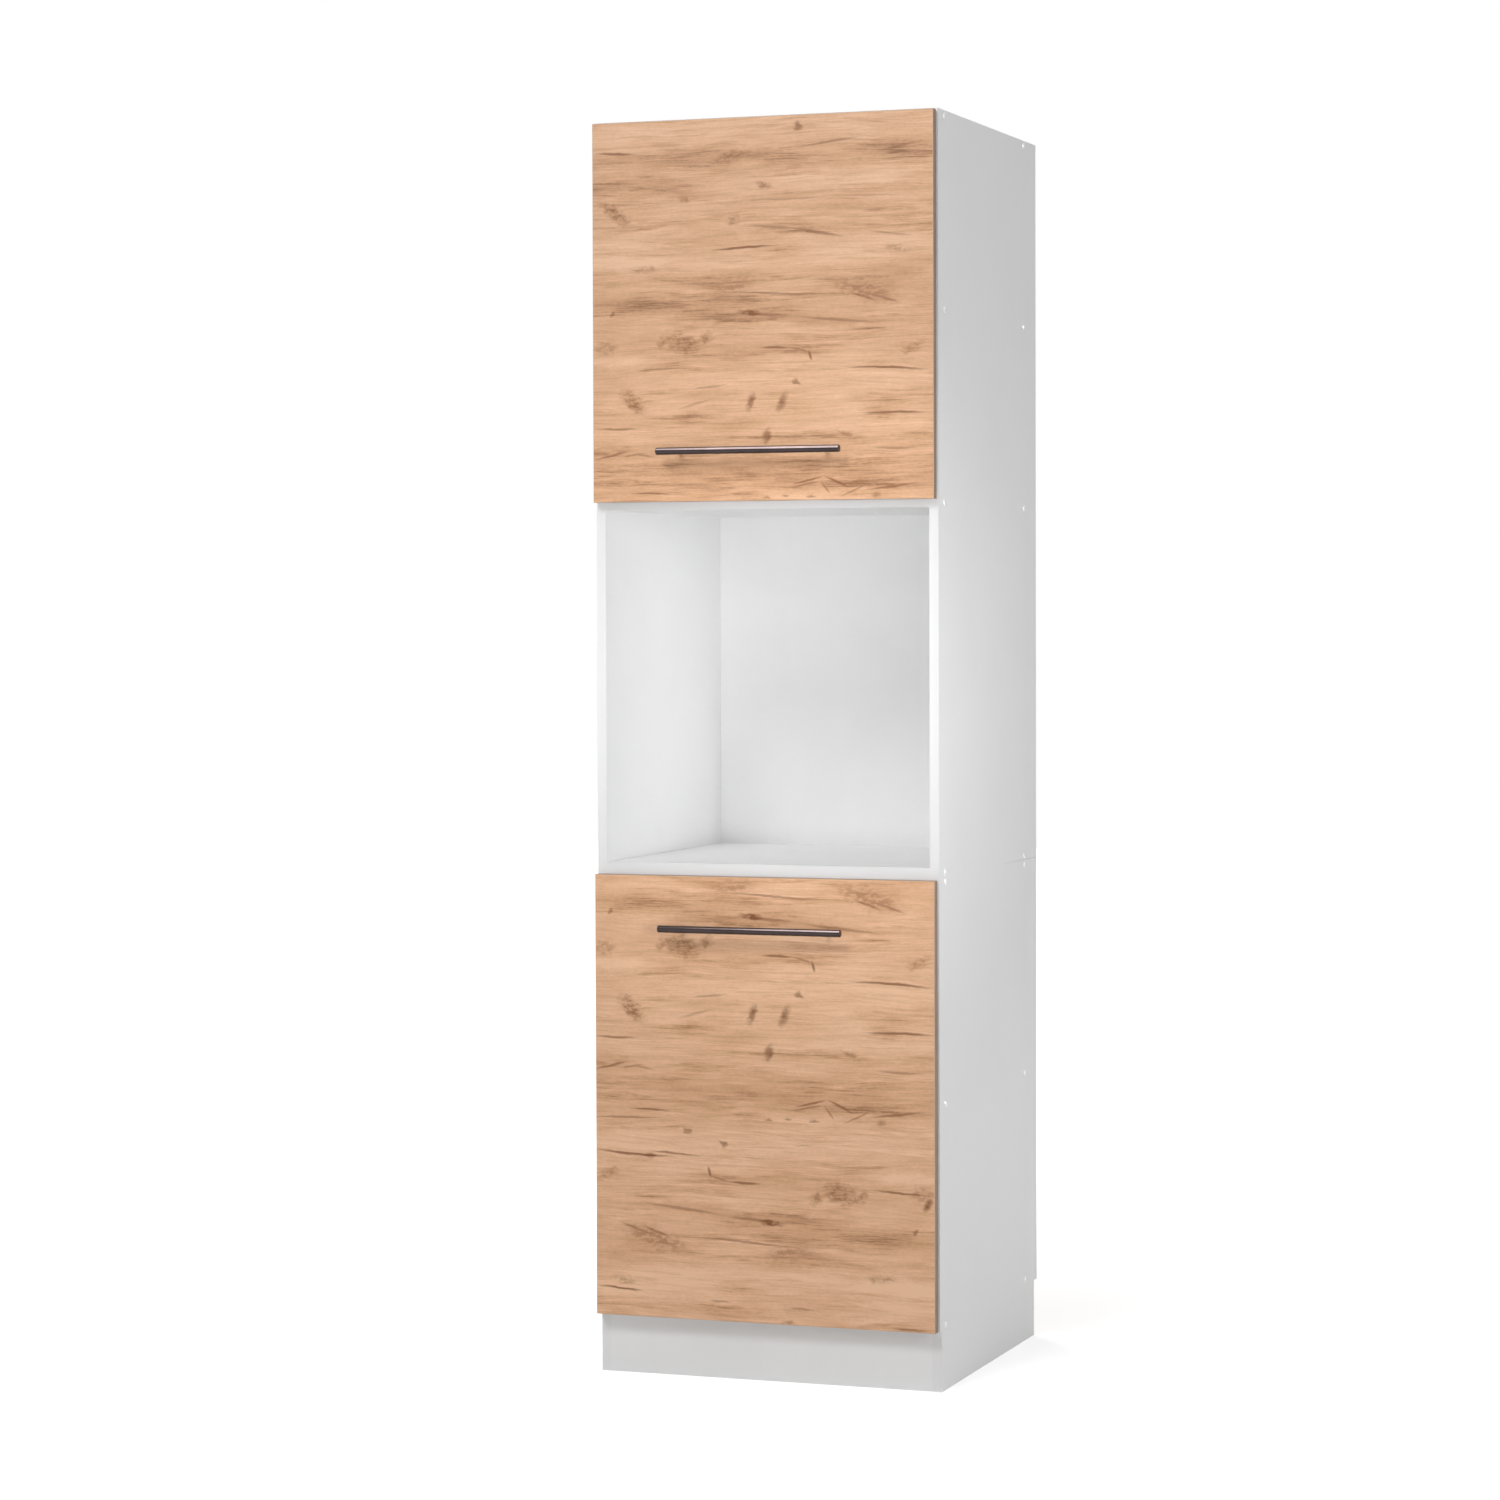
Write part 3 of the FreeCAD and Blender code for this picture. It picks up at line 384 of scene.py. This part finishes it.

# oak print: one sheet of decor, placed in upper-door millimetres
oakLook = {
    "tones": [(0.0, (0.312, 0.146, 0.064)), (0.15, (0.456, 0.238, 0.122)), (0.30, (0.608, 0.335, 0.182)),
              (0.5, (0.725, 0.423, 0.244)), (0.7, (0.820, 0.500, 0.306)), (0.9, (0.906, 0.582, 0.374))],
    "dark": (0.205, 0.064, 0.013),
    "darkShare": 0.92,
    "fleck": (0.300, 0.118, 0.038),
    "knotShare": 0.30,
    "fleckShare": 0.58,
    # noises along and across the fibres
    "wave": (380.0, 95.0, 2.0, 0.5),
    "quiver": (105.0, 26.0, 2.0, 0.5),
    "ragged": (17.0, 9.0, 2.0, 0.5),
    "bands": (380.0, 36.0, 3.0, 0.5),
    "blotch": (95.0, 15.0, 3.0, 0.55),
    "smoke": (170.0, 19.0, 3.0, 0.55),
    "smokeShift": 133.0,
    "streaks": (140.0, 5.5, 3.0, 0.6),
    "fibres": (36.0, 1.8, 2.0, 0.6),
    "threads": (120.0, 3.0, 1.0, 0.5),
    "grit": (8.0, 2.6, 2.0, 0.6),
    "specks": (3.0, 0.6),             # detail and roughness alone, since they run aslant
    "speckAlong": (14.0, 26.0),       # mm
    "speckAcross": (8.0, 36.0),       # mm
    "pores": (16.0, 0.7, 1.0, 0.5),
    # how far wave, quiver and ragged move the fibres and each kind of mark, in mm
    "flowMoves": (20.0, 5.0, 0.0),
    "knotSwell": 6.0,
    "stillMoves": (0.0, 7.0, 9.0),
    "stillSide": 14.0,
    "driftMoves": (14.0, 12.0, 9.0),
    "splitMoves": (12.0, 4.0, 2.0),
    "ownMoves": (0.0, 8.0, 3.0),
    "ownSide": 6.0,
    # how far each noise moves the tone, the second number where the wood is busy
    "bandSwing": 0.34,
    "blotchSwing": 0.56,
    "streakSwing": (0.22, 0.42),
    "fibreSwing": (0.14, 0.44),
    "gritSwing": 0.26,
    "busyRange": (0.38, 0.62),
    "smokeRange": (0.52, 0.74),
    "smokeDrop": 0.20,
    "threadRange": (0.61, 0.73),
    "threadDrop": 0.14,
    "paleRange": (0.39, 0.27),
    "paleRise": 0.10,
    # rims of the marks: outside the first number nothing, inside the second all
    "patchRim": (1.3, 0.35),
    "knotRim": (1.15, 0.25),
    "dropRim": (1.25, 0.2),
    "crackRim": (1.1, 0.35),
    "fleckRange": (0.40, 0.64),
    "dropFill": (0.5, 0.9),
    "poreRange": (0.36, 0.62),
    "poreDepth": 0.00012,
    "poreStrength": 0.5,
    "rough": 0.52,
    "roughSwing": 0.14,
    "specular": 0.35,
    # tone patches: middle x, z, half width, half height, change of tone
    "patches": [
        (0, 2076, 430, 22, 0.19), (110, 1989, 230, 17, 0.21), (60, 1935, 330, 30, 0.08),
        (-240, 1880, 110, 22, 0.22), (0, 1862, 430, 16, 0.17), (170, 1882, 150, 20, 0.15),
        (62, 1822, 45, 14, 0.12), (-250, 1697, 70, 12, 0.22), (150, 1662, 210, 34, 0.16),
        (175, 1590, 180, 19, 0.18), (-90, 1668, 150, 16, 0.09), (245, 1922, 75, 15, 0.20),
        (0, 2030, 440, 19, -0.19), (-60, 2034, 110, 12, -0.12), (240, 2038, 95, 12, -0.05),
        (-235, 1988, 130, 18, -0.24), (60, 1907, 130, 5, -0.16), (80, 1946, 150, 5, -0.13),
        (-215, 1793, 190, 22, -0.17), (-60, 1829, 70, 11, -0.19), (200, 1818, 150, 20, -0.19),
        (-130, 1790, 230, 16, -0.13), (-20, 1770, 150, 10, -0.28), (170, 1757, 165, 9, -0.22),
        (-135, 1725, 85, 20, -0.10), (30, 1712, 100, 10, -0.16), (-115, 1596, 140, 13, -0.19),
        # the wide dark band at z 1510 is partly print and partly painted shadow under the upper handle
        (0, 1510, 440, 29, -0.25), (200, 1486, 130, 12, -0.14), (-280, 1546, 80, 11, -0.18),
        (-80, 1640, 60, 11, -0.08), (0, 1428, 440, 32, 0.14),
    ],
    # cracks: start x, z, end x, z, half thickness, strength
    "cracks": [
        (-96, 1882, 36, 1885, 2.6, 0.9), (-25, 1919, 70, 1909, 3.4, 0.45),
        (45, 1912, 150, 1895, 3.4, 0.65), (-70, 1811, 105, 1800, 2.6, 0.62),
        (-40, 1774, 60, 1768, 3.0, 0.6), (50, 1769, 210, 1752, 3.0, 0.55),
        (135, 1682, 297, 1678, 2.6, 0.85), (160, 1604, 299, 1604, 2.6, 0.85),
        (-299, 2047, -215, 2043, 2.6, 0.82), (-8, 1717, 58, 1715, 2.6, 0.8),
        (50, 1716, 88, 1708, 2.2, 0.45), (83, 1713, 89, 1692, 3.0, 0.8),
        (-299, 1588, -210, 1588, 2.3, 0.7), (-299, 1535, -228, 1552, 2.8, 0.7),
        (-250, 1540, -200, 1547, 2.5, 0.5), (66, 2041, 180, 2056, 2.8, 0.55),
        (200, 2030, 275, 2047, 3.2, 0.5), (-60, 1961, 130, 1958, 2.4, 0.36),
        (150, 1804, 205, 1788, 2.6, 0.6), (185, 1800, 245, 1785, 2.4, 0.5),
        (185, 1549, 275, 1546, 2.4, 0.5), (-125, 1651, -55, 1656, 2.3, 0.45),
        (52, 1491, 112, 1505, 2.4, 0.75), (106, 1506, 156, 1484, 2.4, 0.75),
        (44, 1485, 106, 1497, 2.0, 0.55), (102, 1498, 122, 1474, 2.0, 0.55),
        (134, 1470, 186, 1491, 2.0, 0.5), (176, 1481, 276, 1491, 2.4, 0.7),
        (-233, 1481, -155, 1477, 2.6, 0.8), (-299, 1467, -165, 1466, 2.4, 0.55),
        (-232, 1545, -186, 1539, 2.4, 0.45), (-150, 1618, -80, 1634, 2.6, 0.35),
        (110, 1962, 260, 1957, 2.2, 0.3), (-190, 2050, -110, 2047, 2.2, 0.3),
        (180, 1905, 270, 1893, 2.4, 0.4), (-299, 1965, -210, 1960, 2.4, 0.35),
    ],
    # knots of dark flecks: middle x, z, half width, half height, turn in degrees, strength
    "knots": [
        (-138, 1727, 44, 19, -12, 1.0), (-225, 1630, 36, 14, -42, 1.0), (-258, 1945, 36, 14, -38, 1.0),
        (180, 1806, 66, 20, -14, 0.7), (-53, 2032, 38, 10, 12, 0.9), (6, 1984, 20, 9, -12, 0.9),
        (66, 2078, 11, 10, 0, 0.9), (235, 1872, 24, 9, -10, 0.65), (262, 1710, 24, 9, 16, 0.65),
        (-205, 1851, 30, 9, 0, 0.6), (-48, 1928, 16, 9, 10, 0.6), (-275, 1722, 26, 16, 0, 0.6),
        (-50, 1818, 46, 14, 6, 0.65), (150, 1572, 20, 7, -20, 0.7), (-135, 1965, 16, 6, 0, 0.75),
        (-176, 1729, 9, 12, 0, 0.85), (-95, 1735, 12, 14, -60, 0.9),
    ],
    # small solid knots: the same numbers
    "drops": [
        (-18, 1628, 8, 17, -14, 0.85), (38, 1628, 8.5, 18, -24, 0.85), (10, 1571, 8.5, 16, -20, 0.85),
        (64, 1659, 9, 5, -40, 0.8), (-20, 1775, 22, 4.5, -4, 1.0), (66, 2081, 7, 7, 0, 0.8),
        (-262, 1777, 5, 4, 0, 0.7), (10, 1471, 7, 3.5, 0, 0.6), (41, 1473, 7, 3.5, 10, 0.6),
        (89, 1473, 8, 3.5, -10, 0.6), (202, 1474, 11, 4, 0, 0.5), (-130, 1448, 10, 5, -25, 0.7),
    ],
}

# how each door takes the sheet: the lower one a little larger, and turned half round below the seam;
# cracks and drops of its own are in door millimetres
upperPrint = {
    "scale": (1.0, 1.0),
    "from": (0.0, 0.0),
    "to": (0.0, 0.0),
    "seam": None,
    "tone": 0.54,
    "cracksBelow": 2100.0,
    "cracks": [],
    "drops": [],
}
lowerPrint = {
    "scale": (0.97, 0.905),
    "from": (0.0, 724.8),
    "to": (0.0, 1727.8),
    "seam": 405.0,
    "seamSlope": -0.05,
    "ripple": (2.0, 0.5),           # detail and roughness of the seam's waves
    "rippleLength": 190.0,          # mm
    "rippleRow": 0.3,
    "rippleHeight": 14.0,           # mm
    "about": (-3.0, 523.0),
    # lighter than the upper door: painted light on the lower door
    "tone": 0.64,
    "cracksBelow": 1834.0,          # higher ones of the sheet aren't on this door
    "cracks": [
        (-299, 149, -208, 144, 2.6, 0.9), (183, 331, 296, 329, 2.4, 0.8),
        (-210, 380, -107, 377, 2.3, 0.7), (-100, 133, -52, 132, 2.6, 0.5),
        (42, 131, 90, 129, 2.4, 0.45), (222, 108, 292, 104, 3.2, 0.65),
    ],
    "drops": [(286, 312, 7, 15, -24, 0.9), (-201, 372, 12, 5, 0, 0.65)],
}
idleLength = 1.0e6    # mm, so long that what is divided by it counts for nothing


def printPlace(finish, x, z, door):
    if door["seam"] is not None:
        row = finish.join(x / door["rippleLength"], door["rippleRow"])
        ripple = finish.noise(row, *door["ripple"], True)
        seam = door["seam"] + x * door["seamSlope"] + door["rippleHeight"] * (ripple - 0.5)
        turned = seam.above(z)
        x = x + turned * (2.0 * door["about"][0] - 2.0 * x)
        z = z + turned * (2.0 * door["about"][1] - 2.0 * z)
    u = (x - door["from"][0]) * door["scale"][0] + door["to"][0]
    v = (z - door["from"][1]) * door["scale"][1] + door["to"][1]
    return u, v


def reach(finish, spot, made, middle, half, turn):
    # distance from a mark's middle, 1 at its rim; what is made so far rides along in z and counts for
    # nothing there, so that the marks are worked out one after another
    point = finish.join(spot[0], spot[1], made)
    sockets = {"Vector": point, "Location": (*middle, 0.0), "Rotation": (0.0, 0.0, math.radians(turn)),
               "Scale": (*half, idleLength)}
    local = finish.node("ShaderNodeMapping", {"vector_type": "TEXTURE"}, sockets)
    return finish.node("ShaderNodeVectorMath", {"operation": "LENGTH"}, {0: local}, "Value")


def ovals(finish, spot, made, shapes, rim):
    # the strongest of many oval marks: x, z, half width, half height, turn, strength
    for x, z, wide, high, turn, strength in shapes:
        mark = finish.fade(reach(finish, spot, made, (x, z), (wide, high), turn), *rim)
        made = (mark * strength).atLeast(made)
    return made


def slits(finish, spot, made, shapes, rim):
    # long thin marks: start x, z, end x, z, half thickness, strength
    marks = []
    for startX, startZ, endX, endZ, half, strength in shapes:
        long = math.hypot(endX - startX, endZ - startZ) / 2.0
        turn = math.degrees(math.atan2(endZ - startZ, endX - startX))
        marks.append(((startX + endX) / 2.0, (startZ + endZ) / 2.0, long, half, turn, strength))
    return ovals(finish, spot, made, marks, rim)


def moved(height, noises, moves):
    # a height pushed up and down by some noises
    for noise, move in zip(noises, moves):
        if move:
            height = height + move * (noise - 0.5)
    return height


def oakFinish(name, door, look):
    finish = Finish(name)
    x, y, z = finish.place()
    u, v = printPlace(finish, x, z, door)

    # the fibres wander, and swell a little round the knots
    wave = finish.lumps((u, v), look["wave"])
    quiver = finish.lumps((u, v), look["quiver"])
    ragged = finish.lumps((u, v), look["ragged"])
    shakes = (wave, quiver, ragged)
    still = (u + look["stillSide"] * (ragged - 0.5), moved(v, shakes, look["stillMoves"]))
    knotMask = ovals(finish, still, 0.0, look["knots"], look["knotRim"])
    flow = moved(v, shakes, look["flowMoves"]) + look["knotSwell"] * knotMask

    # tone: broad bands, blotches, smoky patches, streaks and fine fibres
    bands = finish.lumps((u, flow), look["bands"])
    blotch = finish.lumps((u, flow), look["blotch"])
    smoke = finish.lumps((u, flow + look["smokeShift"]), look["smoke"])
    streaks = finish.lumps((u, flow), look["streaks"])
    fibres = finish.lumps((u, flow), look["fibres"])
    threads = finish.lumps((u, flow), look["threads"])
    grit = finish.lumps((u, flow), look["grit"])
    busy = finish.fade(smoke, *look["busyRange"])
    streakSwing = look["streakSwing"][0] + look["streakSwing"][1] * busy
    fibreSwing = look["fibreSwing"][0] + look["fibreSwing"][1] * busy
    tone = door["tone"] + look["bandSwing"] * (bands - 0.5) + look["blotchSwing"] * (blotch - 0.5)
    tone = tone + streakSwing * (streaks - 0.5) + fibreSwing * (fibres - 0.5)
    tone = tone + look["gritSwing"] * (grit - 0.5)
    tone = tone - look["smokeDrop"] * finish.fade(smoke, *look["smokeRange"])
    tone = tone - look["threadDrop"] * finish.fade(threads, *look["threadRange"])
    tone = tone + look["paleRise"] * finish.fade(threads, *look["paleRange"])
    drift = (u, moved(v, shakes, look["driftMoves"]))
    for patchX, patchZ, wide, high, change in look["patches"]:
        far = reach(finish, drift, tone, (patchX, patchZ), (wide, high), 0.0)
        tone = tone + change * finish.fade(far, *look["patchRim"])
    paint = finish.tint(tone, look["tones"])

    # knots, drops and cracks over the tone
    along, across = look["speckAlong"], look["speckAcross"]
    slant = finish.join(u / along[0] + v / along[1], v / across[0] - u / across[1])
    specks = finish.noise(slant, *look["specks"], True)
    fleck = knotMask * finish.fade(specks, *look["fleckRange"])
    flecked = (look["knotShare"] * knotMask + look["fleckShare"] * fleck).atMost(1.0)
    paint = finish.blend(paint, look["fleck"], flecked)
    drops = ovals(finish, still, tone * 0.0, look["drops"], look["dropRim"])
    split = (u, moved(v, shakes, look["splitMoves"]))
    sheetCracks = [crack for crack in look["cracks"] if crack[1] < door["cracksBelow"]]
    cracks = slits(finish, split, drops * 0.0, sheetCracks, look["crackRim"])
    own = (x + look["ownSide"] * (ragged - 0.5), moved(z, shakes, look["ownMoves"]))
    cracks = slits(finish, own, cracks, door["cracks"], look["crackRim"])
    drops = ovals(finish, own, drops, door["drops"], look["dropRim"])
    filled = look["dropFill"][0] + look["dropFill"][1] * specks
    dark = (cracks + drops * filled).atMost(1.0)
    paint = finish.blend(paint, look["dark"], dark * look["darkShare"])

    # pores pressed into the face
    pores = finish.fade(finish.lumps((x, z), look["pores"]), *look["poreRange"])
    normal = finish.bump(pores, look["poreDepth"], look["poreStrength"])
    rough = look["rough"] + look["roughSwing"] * (streaks - 0.5)
    return finish.coat(Base_Color=paint, Roughness=rough, Specular_IOR_Level=look["specular"], Normal=normal)


dress(oakFinish("oak_upper", upperPrint, oakLook), "upper_door")
dress(oakFinish("oak_lower", lowerPrint, oakLook), "lower_door")
print("doors done")

# brown edging with streaks along each strip
edgingLook = {
    "tones": [(0.25, (0.135, 0.082, 0.055)), (0.5, (0.215, 0.135, 0.092)), (0.8, (0.31, 0.2, 0.138))],
    "corner": (0.70, 0.43, 0.27),     # the printed face turns over the front corner; its light colour is partly print, partly painted highlight
    "cornerRange": (-0.25, -0.7),
    "cornerShare": 0.9,
    "sideFacing": 0.6,
    "streak": (90.0, 1.6, 3.0, 0.6),
    "streakSwing": 1.1,
    "fibre": (14.0, 0.6, 1.0, 0.5),
    "fibreSwing": 0.5,
    "fibreDepth": 0.00008,
    "fibreStrength": 0.5,
    "tone": 0.5,
    "rough": 0.44,
    "roughSwing": 0.12,
}


def edgingFinish(look):
    finish = Finish("door_edge_strip")
    x, y, z = finish.place()
    turn = finish.facing()
    upright = abs(turn[0]).above(look["sideFacing"])
    along = x + upright * (z - x)
    streak = finish.lumps((along, y), look["streak"])
    fibre = finish.lumps((along, y), look["fibre"])
    tone = look["tone"] + look["streakSwing"] * (streak - 0.5) + look["fibreSwing"] * (fibre - 0.5)
    # the rounded front corner turns light: the print over the corner, and a painted highlight
    front = finish.fade(turn[1], *look["cornerRange"])
    paint = finish.tint(tone, look["tones"])
    paint = finish.blend(paint, look["corner"], front * look["cornerShare"])
    normal = finish.bump(fibre, look["fibreDepth"], look["fibreStrength"])
    rough = look["rough"] + look["roughSwing"] * fibre
    return finish.coat(Base_Color=paint, Roughness=rough, Normal=normal)


dress(edgingFinish(edgingLook), *both("door_edging"))
print("edging done")

# dark satin metal of the handles, drawn lengthwise
barLook = {
    "dark": (0.046, 0.035, 0.035),
    "pale": (0.066, 0.051, 0.050),
    "drawn": (60.0, 0.5, 0.5, 2.0, 0.6),
    "drawnShare": 0.6,
    "cloud": (24.0, 9.0, 9.0, 2.0, 0.5),
    "cloudShare": 0.4,
    "paleRange": (0.35, 0.65),
    "depth": 0.00002,
    "strength": 0.4,
    "rough": 0.14,
    "roughSwing": 0.06,
}


def barFinish(look):
    finish = Finish("handle_metal")
    place = finish.place()
    drawn = finish.lumps(place, look["drawn"])
    cloud = finish.lumps(place, look["cloud"])
    mixed = drawn * look["drawnShare"] + cloud * look["cloudShare"]
    paint = finish.blend(look["dark"], look["pale"], finish.fade(mixed, *look["paleRange"]))
    rough = look["rough"] + look["roughSwing"] * (drawn - 0.5)
    normal = finish.bump(drawn, look["depth"], look["strength"])
    return finish.coat(Base_Color=paint, Metallic=1.0, Roughness=rough, Normal=normal)


dress(barFinish(barLook), *both("handle_bar", "handle_posts"))
print("handles done")

# small fittings with a clouded surface: nickel hinges, zinc screws, moulded caps and clear bumpers
hingeLook = {
    "pale": (0.66, 0.645, 0.62),
    "shade": (0.5, 0.488, 0.47),
    "cloud": (7.0, 7.0, 7.0, 4.0, 0.6),
    "cloudRange": (0.3, 0.62),
    "rough": 0.26,
    "roughSwing": 0.22,
    "depth": 0.00003,
    "strength": 0.4,
    "shine": {"Metallic": 1.0},
}
screwLook = {
    "pale": (0.69, 0.70, 0.71),
    "shade": (0.49, 0.49, 0.47),
    "cloud": (2.2, 2.2, 2.2, 4.0, 0.6),
    "cloudRange": (0.3, 0.62),
    "rough": 0.34,
    "roughSwing": 0.22,
    "depth": 0.00003,
    "strength": 0.4,
    "shine": {"Metallic": 1.0},
}
capLook = {
    "pale": (0.96, 0.962, 0.965),
    "shade": (0.925, 0.928, 0.932),
    "cloud": (5.0, 5.0, 5.0, 3.0, 0.5),
    "cloudRange": (0.35, 0.6),
    "rough": 0.2,
    "roughSwing": 0.12,
    "depth": 0.00002,
    "strength": 0.4,
    "shine": {"Coat_Weight": 1.0, "Coat_Roughness": 0.06},
}
bumperLook = {
    "pale": (0.90, 0.915, 0.92),
    "shade": (0.80, 0.82, 0.83),
    "cloud": (3.0, 3.0, 3.0, 3.0, 0.5),
    "cloudRange": (0.35, 0.6),
    "rough": 0.295,
    "roughSwing": 0.15,
    "depth": 0.00003,
    "strength": 0.4,
    "shine": {"Transmission_Weight": 0.55, "IOR": 1.43},
}


def cloudedFinish(name, look):
    finish = Finish(name)
    cloud = finish.lumps(finish.place(), look["cloud"])
    paint = finish.blend(look["shade"], look["pale"], finish.fade(cloud, *look["cloudRange"]))
    rough = look["rough"] + look["roughSwing"] * (cloud - 0.5)
    normal = finish.bump(cloud, look["depth"], look["strength"])
    return finish.coat(Base_Color=paint, Roughness=rough, Normal=normal, **look["shine"])


hingePieces = ("arm", "plate", "cup", "pin")
hingeParts = ["%s_hinge_%s" % (end, piece) for end in ("top", "bottom") for piece in hingePieces]
screwGroups = both("back_screws", "left_connectors", "right_connectors", "cup_screws", "handle_screws")
screwGroups += ["hinge_arm_screws", "hinge_plate_screws", "module_screws"]
dress(cloudedFinish("hinge_nickel", hingeLook), *both(*hingeParts))
dress(cloudedFinish("screw_zinc", screwLook), *screwGroups)
dress(cloudedFinish("cap_plastic", capLook), *both("left_caps", "right_caps"))
dress(cloudedFinish("bumper_rubber", bumperLook), *both("door_bumpers"))
print("fittings, caps and bumpers done")

# bare beech dowels, grain along x
dowelLook = {
    "tones": [(0.25, (0.47, 0.30, 0.165)), (0.55, (0.62, 0.43, 0.26)), (0.8, (0.71, 0.53, 0.35))],
    "streak": (22.0, 0.9, 0.9, 3.0, 0.6),
    "depth": 0.00006,
    "strength": 0.5,
    "rough": 0.6,
    "roughSwing": 0.1,
}


def dowelFinish(look):
    finish = Finish("dowel_beech")
    streak = finish.lumps(finish.place(), look["streak"])
    rough = look["rough"] + look["roughSwing"] * streak
    normal = finish.bump(streak, look["depth"], look["strength"])
    return finish.coat(Base_Color=finish.tint(streak, look["tones"]), Roughness=rough, Normal=normal)


dress(dowelFinish(dowelLook), "dowels")
print("dowels done")

plain = []
for name, thing in parts.items():
    if not all(slot.material and slot.material.use_nodes for slot in thing.material_slots):
        plain.append(name)
print("nodes without a finish:", plain or "none")
